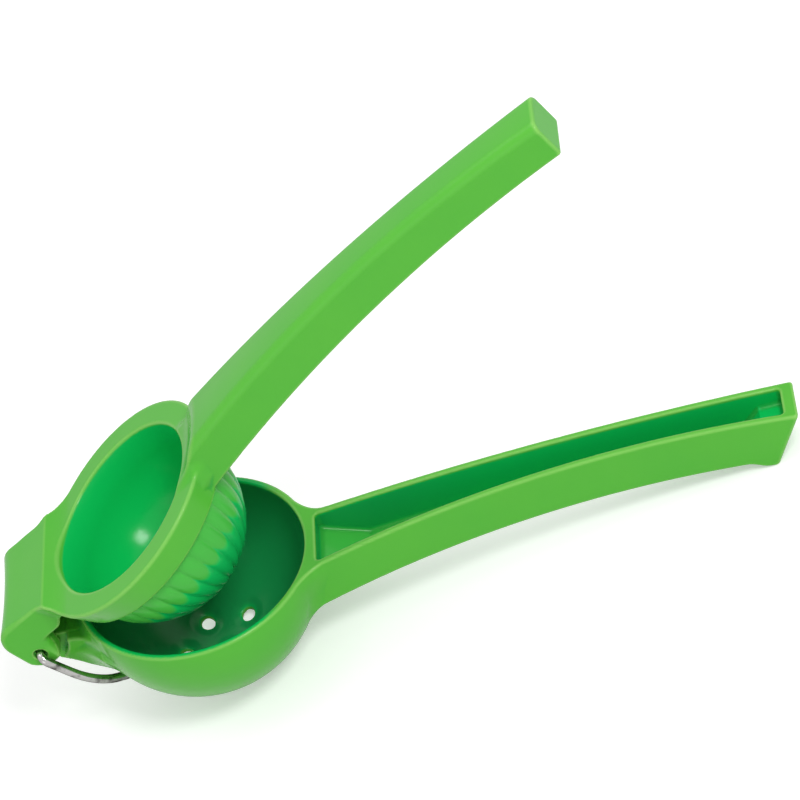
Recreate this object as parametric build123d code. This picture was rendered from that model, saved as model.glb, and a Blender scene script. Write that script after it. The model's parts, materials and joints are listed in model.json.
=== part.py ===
from build123d import *
import os
from math import asin, atan2, cos, degrees, hypot, radians, sin, sqrt, tan

# Hinged lemon squeezer: two aluminium castings and one steel wire ring, in millimetres.
# Both castings are drawn in the bowl's own frame: the origin is the centre of the bowl's mouth,
# X runs to the handle tips, Z points out of the mouth, and the arm lies parallel to the rim.
# The arm is then swung open about the hinge, and the whole squeezer is stood on a level table.

# Bowl
BOWL_RADIUS = 32.1
BOWL_WALL = 2.0
BOWL_CENTRE_DROP = 3.1
RIM_EDGE_RADIUS = 0.7
HOLE_RADIUS = 1.8
HOLE_SINK_RADIUS = 3.4
HOLE_SINK_DEPTH = 0.8
HOLE_RING_RADIUS = 11.3
HOLES_IN_RING = 6

# Press: collar, dome and juicing cup
COLLAR_TOP = 4.7
COLLAR_HEIGHT = 9.0
COLLAR_TOP_RADIUS = 31.6
COLLAR_BOTTOM_RADIUS = 28.6
COLLAR_EDGE_RADIUS = 0.9
DOME_RADIUS = 25.9
DOME_CENTRE_DROP = 8.5
CUP_RADIUS = 23.2
CUP_MOUTH_RADIUS = 24.0
FLUTES = 32
FLUTE_DEPTH = 0.6
FLUTE_CUT_RADIUS = 1.0
FLUTE_FIRST_ANGLE = 7
FLUTE_LAST_ANGLE = 72

# Hinge
HINGE_X = -42.7
HINGE_Z = -4.2
TAB_RISE = 3.3
TAB_FOLD_X = -28.4
TAB_RAMP_END_X = -24.8
TAB_HALF_WIDTH = 15.5
TAB_CORNER_RADIUS = 6.0
TAB_EDGE_RADIUS = 1.8
TAB_ROOF = 3.2
TAB_BACK_WALL = 1.7
TONGUE_ROOM_END_X = -35.4
EAR_CENTRE = (-41.9, -2.3)
EAR_RADIUS = 6.1
EAR_INNER_HALF = 10.0
WEB_BOTTOM = -1.5
RIM_ROOM_RADIUS = 33.4
RIM_ROOM_TOP = 0.3
TONGUE_HALF_WIDTH = 9.8
TONGUE_KNUCKLE_RADIUS = 3.2
NECK_HALF_WIDTH = 13.0
NECK_TOP = -3.7
NECK_RELIEF_RADIUS = 7.1
NECK_UNDERSIDE = [(-20, -22), (-24.5, -20.5), (-38.6, -9.6)]

# Wire ring
WIRE_RADIUS = 1.2
PIN_HOLE_RADIUS = 1.25
PIN_SINK_RADIUS = 1.75
PIN_SINK_DEPTH = 0.9
RING_BEND_RADIUS = 2.2
RING_SIDE_GAP = 0.4
RING_STRAIGHT = 9.0
RING_REACH = 30.5
RING_TIP_RADIUS = 13.3
RING_TIP_HALF_ANGLE = 55
RING_LEAN = 49.8

# Lower handle
HANDLE_TIP_X = 162.2
HANDLE_WAIST_X = 112.0
HANDLE_ROOT_X = 34.0
LOWER_HALF_WIDTHS = (10.3, 5.9, 6.7)
LOWER_TOP_PEAK = (132.0, 11.1)
LOWER_TOP_RADIUS = 447.0
LOWER_UNDER_PEAK = (126.0, -3.05)
LOWER_UNDER_RADIUS = 394.0
LOWER_EDGE_RADIUS = 1.0
FOOT_BOTTOM = -5.7
FOOT_BACK_X = 150.8
FOOT_FRONT_X = 153.5
FOOT_RADIUS = 1.6
FOOT_BLEND_X = 146.0
CHANNEL_WALL = 1.9
CHANNEL_FLOOR = 2.2
CHANNEL_START = (33.2, -5.0)
CHANNEL_RAMP_X = 46.0
CHANNEL_END_X = 158.4
PAD_START_X = 145.6
PAD_TOP_X = 151.2
PAD_TOP_Z = 5.2

# Upper handle
UPPER_TIP_X = 161.1
UPPER_HALF_WIDTHS = (9.4, 5.9, 6.5)
UPPER_TOP_PEAK = (113.7, 17.4)
UPPER_TOP_RADIUS = 525.0
UPPER_UNDER_PEAK = (123.5, 5.05)
UPPER_UNDER_RADIUS = 562.0
UPPER_EDGE_RADIUS = 2.2
UPPER_TIP_EDGE_RADIUS = 1.2
RAMP_FOOT_RADIUS = 27.0
RAMP_ANGLE = 38.0
UPPER_CHANNEL_START_X = 35.5

# Pose
OPEN_ANGLE = 31.9

INNER_RADIUS = BOWL_RADIUS - BOWL_WALL
DOME_CENTRE = COLLAR_TOP - DOME_CENTRE_DROP
COLLAR_BOTTOM = COLLAR_TOP - COLLAR_HEIGHT
TAB_TOP = COLLAR_TOP + TAB_RISE
# Both handles start inside the cup walls, and cutting tools reach well past every face.
HANDLE_BURIED_X = 20.0
FAR = 100.0


def arc_height(x, peak, radius):
    """Height at x of a wide arc that is highest at its peak."""
    return peak[1] - radius + sqrt(radius**2 - (x - peak[0]) ** 2)


def arc_between(x_from, x_to, peak, radius, lift=0.0):
    """Part of a wide arc from one x to another, raised by lift."""
    stations = (x_from, (x_from + x_to) / 2, x_to)
    return ThreePointArc(*[(x, arc_height(x, peak, radius) + lift) for x in stations])


def side_slab(outline, half_width):
    """Solid between both sides of an outline drawn in the XZ plane."""
    return extrude(make_face(Plane.XZ * outline), amount=half_width, both=True)


def plan_slab(x_from, x_to, half_widths, inset=0.0):
    """Tall block whose long edges are arcs through a handle's root, waist and tip widths."""
    stations = (HANDLE_ROOT_X, HANDLE_WAIST_X, HANDLE_TIP_X)
    near = [(x, inset - half) for x, half in zip(stations, half_widths)]
    far = [(x, -y) for x, y in reversed(near)]
    buried_near = (HANDLE_BURIED_X, near[0][1])
    buried_far = (HANDLE_BURIED_X, far[-1][1])
    outline = (
        Polyline(far[-1], buried_far, buried_near, near[0])
        + ThreePointArc(*near)
        + Line(near[-1], far[0])
        + ThreePointArc(*far)
    )
    window = Box(x_to - x_from, FAR, 2 * FAR, align=(Align.MIN, Align.CENTER, Align.CENTER))
    return extrude(make_face(outline), amount=FAR, both=True) & Pos(x_from, 0, 0) * window


def along_y(radius, half_length):
    """Cylinder on the hinge axis, centred on the mid-plane."""
    return Pos(HINGE_X, 0, HINGE_Z) * Rot(90, 0, 0) * Cylinder(radius, 2 * half_length)


def beyond_mid_plane(inner, outer=FAR / 2):
    """One block on each side of the hinge, between two distances from the mid-plane."""
    block = Box(FAR / 2, outer - inner, FAR / 2)
    offset = (inner + outer) / 2
    return [Pos(HINGE_X, side * offset, HINGE_Z) * block for side in (-1, 1)]


def turned(outline):
    """Solid of revolution about Z of an outline drawn in the XZ half-plane."""
    return revolve(Plane.XZ * outline, Axis.Z)


def bowl_shell():
    """Strainer bowl as one turned shell with a rounded rim."""
    rim_radius = sqrt(BOWL_RADIUS**2 - BOWL_CENTRE_DROP**2)
    half_turn = sqrt(0.5)
    outline = (
        Polyline((0, -BOWL_CENTRE_DROP - INNER_RADIUS), (0, -BOWL_CENTRE_DROP - BOWL_RADIUS))
        + ThreePointArc(
            (0, -BOWL_CENTRE_DROP - BOWL_RADIUS),
            (BOWL_RADIUS * half_turn, -BOWL_CENTRE_DROP - BOWL_RADIUS * half_turn),
            (rim_radius, 0),
        )
        + Polyline((rim_radius, 0), (INNER_RADIUS, 0), (INNER_RADIUS, -BOWL_CENTRE_DROP))
        + ThreePointArc(
            (INNER_RADIUS, -BOWL_CENTRE_DROP),
            (INNER_RADIUS * half_turn, -BOWL_CENTRE_DROP - INNER_RADIUS * half_turn),
            (0, -BOWL_CENTRE_DROP - INNER_RADIUS),
        )
    )
    face = make_face(outline)
    face = fillet(face.vertices().filter_by_position(Axis.Y, -0.1, 0.1), RIM_EDGE_RADIUS)
    return turned(face)


def bowl_room():
    """Everything inside the bowl's inner wall and rim, open upwards."""
    mouth_radius = INNER_RADIUS + RIM_EDGE_RADIUS
    mouth = Cylinder(mouth_radius, FAR, align=(Align.CENTER, Align.CENTER, Align.MIN))
    return Pos(0, 0, -BOWL_CENTRE_DROP) * (Sphere(INNER_RADIUS) + mouth)


def drain_hole(x, y):
    """One countersunk hole, cut straight down through the bottom of the bowl."""
    floor_z = -BOWL_CENTRE_DROP - sqrt(INNER_RADIUS**2 - x**2 - y**2)
    sink_height = HOLE_SINK_RADIUS - HOLE_RADIUS + 1
    sink = Cone(
        HOLE_RADIUS, HOLE_SINK_RADIUS + 1, sink_height, align=(Align.CENTER, Align.CENTER, Align.MIN)
    )
    bore = Cylinder(HOLE_RADIUS, FAR / 2)
    return Pos(x, y, floor_z) * (bore + Pos(0, 0, -HOLE_SINK_DEPTH) * sink)


def lower_handle():
    top = arc_between(HANDLE_BURIED_X, HANDLE_TIP_X, LOWER_TOP_PEAK, LOWER_TOP_RADIUS)
    under = arc_between(HANDLE_BURIED_X, FOOT_BLEND_X, LOWER_UNDER_PEAK, LOWER_UNDER_RADIUS)
    foot = Polyline(under @ 1, (FOOT_BACK_X, FOOT_BOTTOM), (FOOT_FRONT_X, FOOT_BOTTOM), top @ 1)
    root = Line(under @ 0, top @ 0)
    face = make_face(top + foot + under + root)
    foot_corners = face.vertices().filter_by_position(Axis.X, FOOT_BLEND_X - 1, FOOT_FRONT_X + 1)
    face = fillet(foot_corners, FOOT_RADIUS)
    body = side_slab(face, FAR / 2) & plan_slab(HANDLE_BURIED_X, HANDLE_TIP_X, LOWER_HALF_WIDTHS)
    lower_edges = body.edges().filter_by(lambda edge: edge.length > 100).sort_by(Axis.Z)[:2]
    return fillet(lower_edges, LOWER_EDGE_RADIUS)


def lower_channel():
    """Trough along the top of the lower handle, with a raised pad at its tip end."""
    floor = arc_between(CHANNEL_RAMP_X, PAD_START_X, LOWER_UNDER_PEAK, LOWER_UNDER_RADIUS, CHANNEL_FLOOR)
    outline = floor + Polyline(
        floor @ 1,
        (PAD_TOP_X, PAD_TOP_Z),
        (CHANNEL_END_X, PAD_TOP_Z),
        (CHANNEL_END_X, FAR),
        (CHANNEL_START[0], FAR),
        CHANNEL_START,
        floor @ 0,
    )
    plan = plan_slab(CHANNEL_START[0], CHANNEL_END_X, LOWER_HALF_WIDTHS, CHANNEL_WALL)
    return side_slab(outline, FAR / 2) & plan


def neck_and_tongue():
    """Block behind the bowl that narrows to a tongue with the hinge knuckle at its end."""
    buried_x = NECK_UNDERSIDE[0][0]
    outline = Polyline(
        (HINGE_X, NECK_TOP),
        (buried_x, NECK_TOP),
        *NECK_UNDERSIDE,
        (HINGE_X, HINGE_Z - TONGUE_KNUCKLE_RADIUS),
        (HINGE_X, NECK_TOP),
    )
    neck = side_slab(outline, NECK_HALF_WIDTH)
    relief = [along_y(NECK_RELIEF_RADIUS, FAR) & block for block in beyond_mid_plane(TONGUE_HALF_WIDTH)]
    return neck - relief + along_y(TONGUE_KNUCKLE_RADIUS, TONGUE_HALF_WIDTH)


def make_lower_casting():
    casting = bowl_shell() + (lower_handle() + neck_and_tongue() - bowl_room())
    casting -= lower_channel()
    casting -= drain_hole(0, 0)
    for place in PolarLocations(HOLE_RING_RADIUS, HOLES_IN_RING):
        casting -= drain_hole(place.position.X, place.position.Y)
    return casting - along_y(PIN_HOLE_RADIUS, FAR)


def press_shell():
    """Collar and dome as one turned shell, with grooves that leave ribs down the dome."""
    half_turn = sqrt(0.5)
    dome_join = sqrt(DOME_RADIUS**2 - (COLLAR_BOTTOM - DOME_CENTRE) ** 2)
    outline = (
        Line((0, DOME_CENTRE - CUP_RADIUS), (0, DOME_CENTRE - DOME_RADIUS))
        + ThreePointArc(
            (0, DOME_CENTRE - DOME_RADIUS),
            (DOME_RADIUS * half_turn, DOME_CENTRE - DOME_RADIUS * half_turn),
            (dome_join, COLLAR_BOTTOM),
        )
        + Polyline(
            (dome_join, COLLAR_BOTTOM),
            (COLLAR_BOTTOM_RADIUS, COLLAR_BOTTOM),
            (COLLAR_TOP_RADIUS, COLLAR_TOP),
            (CUP_MOUTH_RADIUS, COLLAR_TOP),
            (CUP_RADIUS, DOME_CENTRE),
        )
        + ThreePointArc(
            (CUP_RADIUS, DOME_CENTRE),
            (CUP_RADIUS * half_turn, DOME_CENTRE - CUP_RADIUS * half_turn),
            (0, DOME_CENTRE - CUP_RADIUS),
        )
    )
    face = make_face(outline)
    corners = face.vertices().filter_by(
        lambda corner: corner.Y > DOME_CENTRE + 1 or corner.X > COLLAR_BOTTOM_RADIUS - 0.1
    )
    return turned(fillet(corners, COLLAR_EDGE_RADIUS)) - flute_grooves()


def flute_grooves():
    """Round grooves along the dome's meridians."""
    path_radius = DOME_RADIUS + FLUTE_CUT_RADIUS - FLUTE_DEPTH
    start = Rot(0, FLUTE_FIRST_ANGLE, 0) * Pos(path_radius, 0, 0) * Circle(FLUTE_CUT_RADIUS)
    groove = revolve(start, Axis.Y, FLUTE_LAST_ANGLE - FLUTE_FIRST_ANGLE)
    turns = [360 / FLUTES * (number + 0.5) for number in range(FLUTES)]
    return [Pos(0, 0, DOME_CENTRE) * Rot(0, 0, turn) * groove for turn in turns]


def cup_room(mouth_radius):
    """The hollow of the press, open upwards through a mouth of the given radius."""
    throat = Cone(CUP_RADIUS, CUP_MOUTH_RADIUS, DOME_CENTRE_DROP)
    mouth = Cylinder(mouth_radius, FAR, align=(Align.CENTER, Align.CENTER, Align.MIN))
    inside = Sphere(CUP_RADIUS) + Pos(0, 0, DOME_CENTRE_DROP / 2) * throat
    return Pos(0, 0, DOME_CENTRE) * inside + Pos(0, 0, COLLAR_TOP) * mouth


def hinge_tab():
    """Flat-topped tab that ramps down to the collar and carries an ear on each side of the tongue."""
    ear_x, ear_z = EAR_CENTRE
    back_x = ear_x - EAR_RADIUS
    notch_x = ear_x + EAR_RADIUS
    corner_inset = TAB_CORNER_RADIUS * (1 - sqrt(0.5))
    buried_x = -CUP_RADIUS
    corner = ThreePointArc(
        (back_x + TAB_CORNER_RADIUS, TAB_TOP),
        (back_x + corner_inset, TAB_TOP - corner_inset),
        (back_x, TAB_TOP - TAB_CORNER_RADIUS),
    )
    lobe = ThreePointArc((back_x, ear_z), (ear_x, ear_z - EAR_RADIUS), (notch_x, ear_z))
    underside = Polyline(
        lobe @ 1,
        (notch_x, WEB_BOTTOM),
        (buried_x, WEB_BOTTOM),
        (buried_x, COLLAR_TOP - COLLAR_EDGE_RADIUS),
        (TAB_RAMP_END_X, COLLAR_TOP),
        (TAB_FOLD_X, TAB_TOP),
        corner @ 0,
    )
    tab = side_slab(corner + Line(corner @ 1, lobe @ 0) + lobe + underside, TAB_HALF_WIDTH)
    outer_edges = tab.edges().filter_by(lambda edge: abs(abs(edge.center().Y) - TAB_HALF_WIDTH) < 0.01)
    rounded = outer_edges.filter_by(
        lambda edge: edge.center().X < ear_x or edge.center().Z > COLLAR_TOP - COLLAR_EDGE_RADIUS
    )
    tab = fillet(rounded, TAB_EDGE_RADIUS)
    tongue_room = Pos(TONGUE_ROOM_END_X, 0, TAB_TOP - TAB_ROOF) * Box(
        TONGUE_ROOM_END_X - back_x - TAB_BACK_WALL,
        2 * EAR_INNER_HALF,
        FAR,
        align=(Align.MAX, Align.CENTER, Align.MAX),
    )
    swing_room = Pos(back_x, 0, HINGE_Z) * Box(
        2 * TAB_BACK_WALL, 2 * EAR_INNER_HALF, FAR, align=(Align.CENTER, Align.CENTER, Align.MAX)
    )
    rim_room = Pos(0, 0, RIM_ROOM_TOP) * Cylinder(
        RIM_ROOM_RADIUS, FAR, align=(Align.CENTER, Align.CENTER, Align.MAX)
    )
    return tab - tongue_room - swing_room - rim_room


def upper_handle():
    top = arc_between(HANDLE_BURIED_X, UPPER_TIP_X, UPPER_TOP_PEAK, UPPER_TOP_RADIUS)
    under = arc_between(HANDLE_BURIED_X, UPPER_TIP_X, UPPER_UNDER_PEAK, UPPER_UNDER_RADIUS)
    outline = top + under + Line(top @ 0, under @ 0) + Line(top @ 1, under @ 1)
    body = side_slab(outline, FAR / 2) & plan_slab(HANDLE_BURIED_X, UPPER_TIP_X, UPPER_HALF_WIDTHS)
    upper_edges = body.edges().filter_by(lambda edge: edge.length > 100).sort_by(Axis.Z)[2:]
    body = fillet(upper_edges, UPPER_EDGE_RADIUS)
    tip_edges = body.edges().filter_by_position(Axis.X, UPPER_TIP_X - 0.1, UPPER_TIP_X + 0.1)
    return fillet(tip_edges, UPPER_TIP_EDGE_RADIUS)


def upper_channel():
    """Hollow under the upper handle, open towards the lower one."""
    end_x = UPPER_TIP_X - CHANNEL_FLOOR
    roof = arc_between(UPPER_CHANNEL_START_X, end_x, UPPER_TOP_PEAK, UPPER_TOP_RADIUS, -CHANNEL_FLOOR)
    outline = roof + Polyline(roof @ 1, (end_x, -FAR / 2), (UPPER_CHANNEL_START_X, -FAR / 2), roof @ 0)
    plan = plan_slab(UPPER_CHANNEL_START_X, end_x, UPPER_HALF_WIDTHS, CHANNEL_WALL)
    return side_slab(outline, FAR / 2) & plan


def root_ramp():
    """Funnel over the collar that leaves a ramp where the upper handle rises from it."""
    height = FAR / 2
    top_radius = RAMP_FOOT_RADIUS + height / tan(radians(RAMP_ANGLE))
    funnel = Cone(RAMP_FOOT_RADIUS, top_radius, height, align=(Align.CENTER, Align.CENTER, Align.MIN))
    return Pos(0, 0, COLLAR_TOP) * funnel


def make_upper_casting():
    mouth_room = cup_room(CUP_MOUTH_RADIUS + COLLAR_EDGE_RADIUS)
    handle = upper_handle() - mouth_room - root_ramp()
    tab = hinge_tab() - mouth_room
    casting = press_shell() + handle + tab - upper_channel()
    casting -= along_y(PIN_HOLE_RADIUS, FAR)
    for block in beyond_mid_plane(TAB_HALF_WIDTH - PIN_SINK_DEPTH):
        casting -= along_y(PIN_SINK_RADIUS, FAR) & block
    return casting


def make_hinge_ring():
    """Wire ring drawn flat, pin along Y at the origin and loop towards +X, then hung on the hinge."""
    side = TAB_HALF_WIDTH + RING_SIDE_GAP + WIRE_RADIUS
    bend_start = side - RING_BEND_RADIUS
    bend_mid = RING_BEND_RADIUS * sqrt(0.5)
    tip_x = RING_REACH - RING_TIP_RADIUS + RING_TIP_RADIUS * cos(radians(RING_TIP_HALF_ANGLE))
    tip_y = RING_TIP_RADIUS * sin(radians(RING_TIP_HALF_ANGLE))
    bend = ThreePointArc(
        (0, bend_start),
        (RING_BEND_RADIUS - bend_mid, bend_start + bend_mid),
        (RING_BEND_RADIUS, side),
    )
    leg = Line(bend @ 1, (RING_STRAIGHT, side))
    shoulder = TangentArc(leg @ 1, (tip_x, tip_y), tangent=(1, 0))
    far_half = bend + leg + shoulder
    tip = ThreePointArc((tip_x, tip_y), (RING_REACH, 0), (tip_x, -tip_y))
    pin = Line((0, -bend_start), (0, bend_start))
    path = pin + far_half + tip + mirror(far_half, about=Plane.XZ)
    section = Plane.XZ * Circle(WIRE_RADIUS)
    ring = sweep(section, path=Wire(path.edges()), transition=Transition.ROUND)
    return Pos(HINGE_X, 0, HINGE_Z) * Rot(0, RING_LEAN, 0) * ring


def swing_open(solid, angle):
    """Turns a solid about the hinge, lifting its handle by an angle in degrees."""
    hinge = Pos(HINGE_X, 0, HINGE_Z)
    return hinge * Rot(0, -angle, 0) * hinge.inverse() * solid


def standing_lean():
    """Angle that lays the bowl's bottom and the handle's rounded foot on the same level table."""
    tip_top = arc_height(HANDLE_TIP_X, LOWER_TOP_PEAK, LOWER_TOP_RADIUS)
    end_slope = atan2(tip_top - FOOT_BOTTOM, HANDLE_TIP_X - FOOT_FRONT_X)
    foot_x = FOOT_FRONT_X - FOOT_RADIUS * tan(end_slope / 2)
    rise = FOOT_BOTTOM + FOOT_RADIUS + BOWL_CENTRE_DROP
    return degrees(atan2(rise, foot_x) + asin((BOWL_RADIUS - FOOT_RADIUS) / hypot(foot_x, rise)))


def main():
    os.makedirs("parts", exist_ok=True)
    pieces = {
        "lower_casting": make_lower_casting(),
        "upper_casting": swing_open(make_upper_casting(), OPEN_ANGLE),
        "hinge_ring": make_hinge_ring(),
    }
    lean = Rot(0, standing_lean(), 0)
    stood = {name: lean * piece for name, piece in pieces.items()}
    box = Compound(list(stood.values())).bounding_box()
    shift = Pos(-(box.min.X + box.max.X) / 2, 0, -box.min.Z)
    for name, piece in stood.items():
        export_step(shift * piece, f"parts/{name}.step")
    hinge = shift * lean * Pos(HINGE_X, 0, HINGE_Z)
    print("hinge at", hinge.position)


main()
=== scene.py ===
"""Dresses the hinged lemon squeezer: two enamelled castings, a fluted press and a polished wire ring.

All shapes are worked out in millimetres in the bowl's own frame. Its origin is the centre of the bowl's
mouth, X runs towards the handle tips and Z out of the mouth, and the arm lies parallel to the rim. They
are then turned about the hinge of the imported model, so every piece lies where its solid does.
"""

import json
import math

import bpy
import numpy as np
from bpy.props import FloatProperty, FloatVectorProperty, IntProperty, PointerProperty
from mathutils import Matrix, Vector


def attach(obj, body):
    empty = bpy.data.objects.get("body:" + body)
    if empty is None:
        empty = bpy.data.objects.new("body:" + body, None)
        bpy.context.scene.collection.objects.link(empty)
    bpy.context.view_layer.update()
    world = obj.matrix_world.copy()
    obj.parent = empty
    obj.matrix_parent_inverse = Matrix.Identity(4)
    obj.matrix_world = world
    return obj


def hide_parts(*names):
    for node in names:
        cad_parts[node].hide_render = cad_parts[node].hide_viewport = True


bl_info = {
    "name": "Lemon Squeezer Dresser",
    "version": (1, 0, 0),
    "blender": (4, 5, 0),
    "location": "3D View > Sidebar > Squeezer",
    "description": "Builds the visible pieces, materials and stage of a hinged lemon squeezer",
    "category": "Object",
}

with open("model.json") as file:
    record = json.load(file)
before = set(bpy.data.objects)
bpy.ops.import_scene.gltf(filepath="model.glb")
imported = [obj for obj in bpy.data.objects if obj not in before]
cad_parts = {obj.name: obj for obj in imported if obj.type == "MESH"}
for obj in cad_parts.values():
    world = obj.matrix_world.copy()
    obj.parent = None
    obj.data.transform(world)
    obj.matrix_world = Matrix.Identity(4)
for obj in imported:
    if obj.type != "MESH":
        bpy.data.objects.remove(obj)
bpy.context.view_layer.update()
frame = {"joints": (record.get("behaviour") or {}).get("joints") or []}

# Hinge: its place in the bowl's frame in millimetres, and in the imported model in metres
HINGE_X, HINGE_Z = -42.7, -4.2
HINGE_IN_ROW = np.array(next(joint["pos_m"] for joint in frame["joints"] if joint["child"] == "arm"))
STANDING_LEAN = 11.157
OPEN_ANGLE = 31.9
MM = 0.001

# Bowl
BOWL_RADIUS = 32.1
BOWL_WALL = 2.0
BOWL_DROP = 3.1
RIM_EDGE = 0.75
RIM_TO_HANDLE = 0.5
HOLE_RADIUS = 1.8
HOLE_RING_RADIUS = 11.3
HOLES_IN_RING = 6
HOLE_EDGE = 0.5
DIMPLE_RADIUS = 3.4
DIMPLE_BALL = 7.0
DIMPLE_JOIN = 0.4

# Neck and tongue: the undersides are lines in XZ, and each slope turns a height into a distance
NECK_HALF, NECK_TOP = 13.0, -3.7
NECK_RELIEF = 7.1
NECK_TOP_EDGE, NECK_EDGE = 0.8, 0.7
NECK_INNER_X = -20.0
NECK_LINE_X, NECK_LINE_Z = (-42.7, -38.6, -24.5), (-7.4, -9.6, -20.5)
NECK_SLOPE, TONGUE_SLOPE, FLARE_SLOPE = 0.8, 0.7, 0.85
FLARE_START_X, FLARE_LENGTH, FLARE_GROWTH = -35.0, 8.3, 0.055
NECK_JOIN, NECK_JOIN_BELOW = 2.0, 6.0
TONGUE_HALF, TONGUE_KNUCKLE = 9.8, 3.2
TONGUE_LINE_X, TONGUE_LINE_Z = (-42.7, -41.4, -40.3, -24.5), (-7.4, -8.2, -12.6, -23.2)
TONGUE_TOP_EDGE, TONGUE_EDGE = 0.5, 0.4
KNUCKLE_JOIN, TONGUE_JOIN = 0.8, 0.6

# Handles: half-widths at root, waist and tip, and arcs given by their peak and radius
HANDLE_STATIONS = (34.0, 112.0, 162.2)
LOWER_HALF_WIDTHS = (10.3, 5.9, 6.7)
LOWER_TOP = (132.0, 11.1, 447.0)
LOWER_UNDER = (126.0, -3.05, 394.0)
LOWER_END_FOOT = (154.1, -5.7)
LOWER_END_TOP = (162.2, 10.08)
LOWER_EDGE, LOWER_END_EDGE = 0.9, 1.0
LOWER_ROOT_X = 20.0
LOWER_JOIN_BELOW, LOWER_JOIN_ABOVE = 3.0, 5.5
FOOT_DROP, FOOT_START, FOOT_LENGTH = 1.62, 146.3, 5.6
CHANNEL_WALL, CHANNEL_FLOOR = 1.9, 2.2
CHANNEL_START_X, CHANNEL_START_Z, CHANNEL_RAMP_X = 33.2, -5.0, 46.0
CHANNEL_END_X = 158.4
CHANNEL_FLOOR_FILLET, CHANNEL_START_FILLET, CHANNEL_END_FILLET = 1.2, 1.3, 1.0
CHANNEL_LIP = 0.65
PAD_START_X, PAD_TOP_Z = 145.6, 5.2
UPPER_HALF_WIDTHS = (9.4, 5.9, 6.5)
UPPER_TOP = (113.7, 17.1, 525.0)
UPPER_UNDER = (123.5, 5.05, 562.0)
UPPER_CROWN = 0.006
UPPER_TOP_EDGE, UPPER_EDGE = 2.4, 0.8
UPPER_ROOT_X = 22.0
UPPER_JOIN_BELOW, UPPER_JOIN_ABOVE = 0.8, 3.0
UPPER_CHANNEL_START_X = 35.5
UPPER_END_X = 161.1
UPPER_END_FOOT, UPPER_END_TOP = (160.2, 3.8), (161.9, 15.0)
RAMP_FOOT, RAMP_ANGLE, RAMP_EDGE = 27.0, math.radians(38.0), 1.0

# Press and hinge tab
COLLAR_TOP, COLLAR_BOTTOM = 4.7, -4.3
COLLAR_TOP_RADIUS, COLLAR_BOTTOM_RADIUS = 31.57, 28.6
COLLAR_EDGE = 0.9
DOME_CENTRE, DOME_CORE, DOME_OVERLAP, DOME_JOIN = -3.8, 24.9, 1.5, 0.8
CUP_RADIUS, CUP_MOUTH, CUP_EDGE = 23.2, 24.4, 0.6
TAB_RISE, TAB_TILT, TAB_WAIST, TAB_FOLD_X, TAB_FOOT_X = 3.0, 0.03, 0.9, -27.8, -24.2
TAB_RUN_OUT, TAB_FOLD_SOFTNESS = 0.9, 0.06
TAB_BACK_X, TAB_BACK_WALL, TAB_CORNER, TAB_HALF = -47.8, 1.5, 6.0, 15.5
TAB_SIDE_EDGE, TAB_TOP_EDGE, TAB_INNER_X, TAB_JOIN = 0.9, 1.4, -20.0, 3.0
EAR_X, EAR_LOW_Z, EAR_RADIUS, EAR_INNER, EAR_JOIN = -41.8, -2.6, 6.35, 10.0, 1.2
WEB_BOTTOM, TAB_CEILING, TONGUE_ROOM_END_X = -1.5, 4.8, -35.4
TONGUE_ROOM_BACK, TONGUE_ROOM_EDGE = 2.5, 0.5
RIM_ROOM_RADIUS, RIM_ROOM_TOP, RIM_ROOM_REACH, RIM_ROOM_END_X = 32.7, 0.3, 35.0, -15.0
RIM_ROOM_GAP, RIM_ROOM_EDGE = 0.05, 1.2
PIN_HOLE, PIN_SINK, PIN_SINK_START, PIN_EDGE = 1.25, 1.75, 14.6, 0.3

# Flutes: points across each and rows over the shell, then angles from the dome's tip: where the shell
# ends, where the grooves deepen and where the painted shade on the dome ends
POINTS_PER_FLUTE, DOME_ROWS = 12, 161
MERGE_DISTANCE = 0.000004
SHELL_BEHIND_CORE = 0.6
SHELL_END = math.radians(91.0)
GROOVE_SHARPNESS = 2.6
FLUTE_FADE = (0.12, 0.55)
# Painted shade on the dome: the angle where it ends, its soft edge, its wave along the grooves and its two
# strengths
FLUTE_SHADE_END, FLUTE_SHADE_EDGE, FLUTE_SHADE_WAVE = 1.15, 0.1, 0.12
FLUTE_SHADE_TONES = (0.3, 1.3)

# Wire ring, drawn flat with its pin across the hinge
RING_SIDE, RING_BEND, RING_STRAIGHT = 17.1, 2.2, 9.0
RING_REACH, RING_TIP_RADIUS, RING_TIP_HALF = 30.5, 13.3, 55.0
RING_LEAN = 49.8
RING_STEPS, RING_SPACING = 24, 0.0004

# Meshes: rounds of smoothing, the least slope by which a point is moved, and the start, end and spacing
# of grid lines that both castings share
SMOOTHING_ROUNDS = 3
LEAST_SLOPE = 0.2
HINGE_TO_COLLAR = (-46, -39.4, 0.3), (-39.4, 42, 0.65)
HALF_WIDTH = (0, 7.2, 0.45), (7.2, 33.6, 0.65)

# Camera
CAMERA_PLACE = (0.268778, -0.667916, 0.632742)
CAMERA_TURN = (45.68932, 26.51868, -2.97816)
CAMERA_LENS = 164.56

# Lights: size, place and target in metres, and the floor
LIGHTS = {
    "key": (0.26, (0.46, -0.44, 0.79), (-0.03, 0.0, 0.05)),
    "top": (0.8, (-0.35, 0.15, 1.1), (-0.03, 0.0, 0.05)),
    "front": (0.8, (-0.55, -0.95, 0.2), (-0.05, 0.0, 0.04)),
}
FLOOR_HALF = 4.0
FLOOR_GLOW, MIRRORED_SHARE = 0.36, 0.25


def paint(name, default, words):
    return FloatVectorProperty(
        name=name, default=default, size=3, min=0.0, max=1.0, subtype="COLOR", description=words
    )


def length(name, default, least, most, words):
    return FloatProperty(
        name=name, default=default, min=least, max=most, unit="LENGTH", description=words
    )


def power(name, default, words):
    return FloatProperty(name=name, default=default, min=0.0, unit="POWER", description=words)


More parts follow.
